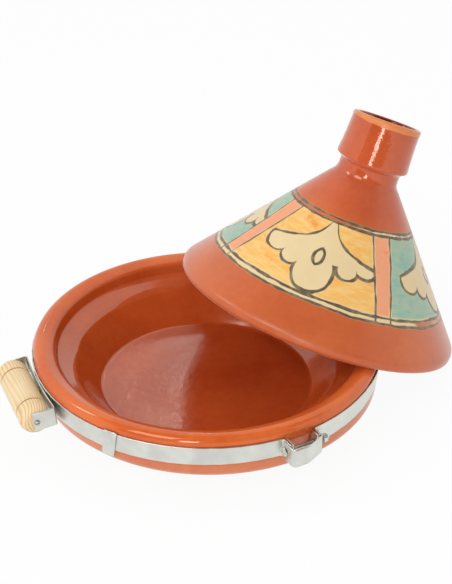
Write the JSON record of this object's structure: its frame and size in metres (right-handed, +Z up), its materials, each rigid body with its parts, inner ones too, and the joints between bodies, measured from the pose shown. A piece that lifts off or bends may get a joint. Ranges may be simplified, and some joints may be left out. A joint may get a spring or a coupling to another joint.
{
  "type": "tagine",
  "caption": "Shallow glazed clay tagine dish in a clamped steel band with two wooden side grips; its conical clay lid with a chimney leans on the rim.",
  "frame": {"origin": "centre of the dish's flat base, on the table", "axes": "+Z up along the dish's axis; +X and +Y level, with the lid leaning out at 35 degrees from +X towards +Y"},
  "size_m": [0.414, 0.3598, 0.238],
  "materials": {
    "glazed_clay": "glossy lead-red glaze over terracotta; the lid's outside is matt slip with painted panels",
    "strap_steel": "thin galvanised strip, satin",
    "pale_wood": "turned pale pine, unvarnished"
  },
  "bodies": {
    "pot": {"dish": "glazed_clay", "band_back": "strap_steel", "band_front": "strap_steel", "band_clip": "strap_steel", "clamp_guard": "strap_steel", "clamp_washer": "strap_steel", "clamp_nut": "strap_steel", "bracket_left": "strap_steel", "bracket_right": "strap_steel", "rivet_left_lower": "strap_steel", "rivet_left_upper": "strap_steel", "rivet_right_lower": "strap_steel", "rivet_right_upper": "strap_steel"},
    "lid": {"lid": "glazed_clay"},
    "bolt": {"clamp_bolt": "strap_steel"},
    "left_grip": {"grip_left": "pale_wood", "grip_screw_left_front": "strap_steel", "grip_screw_left_rear": "strap_steel"},
    "right_grip": {"grip_right": "pale_wood", "grip_screw_right_front": "strap_steel", "grip_screw_right_rear": "strap_steel"}
  },
  "joints": [
    {"name": "lid_lift", "type": "slide", "parent": "pot", "child": "lid", "axis": [0, 0, 1], "range_m": [0, 0.12]},
    {"name": "bolt_turn", "type": "hinge", "parent": "pot", "child": "bolt", "pos_m": [0.06625, -0.14748, 0.0483], "axis": [0.8607, 0.509, 0], "continuous": true},
    {"name": "left_grip_turn", "type": "hinge", "parent": "pot", "child": "left_grip", "pos_m": [-0.15757, -0.06527, 0.04411], "axis": [0.3827, -0.9239, 0], "continuous": true},
    {"name": "right_grip_turn", "type": "hinge", "parent": "pot", "child": "right_grip", "pos_m": [0.15757, 0.06527, 0.04411], "axis": [-0.3827, 0.9239, 0], "continuous": true}
  ]
}
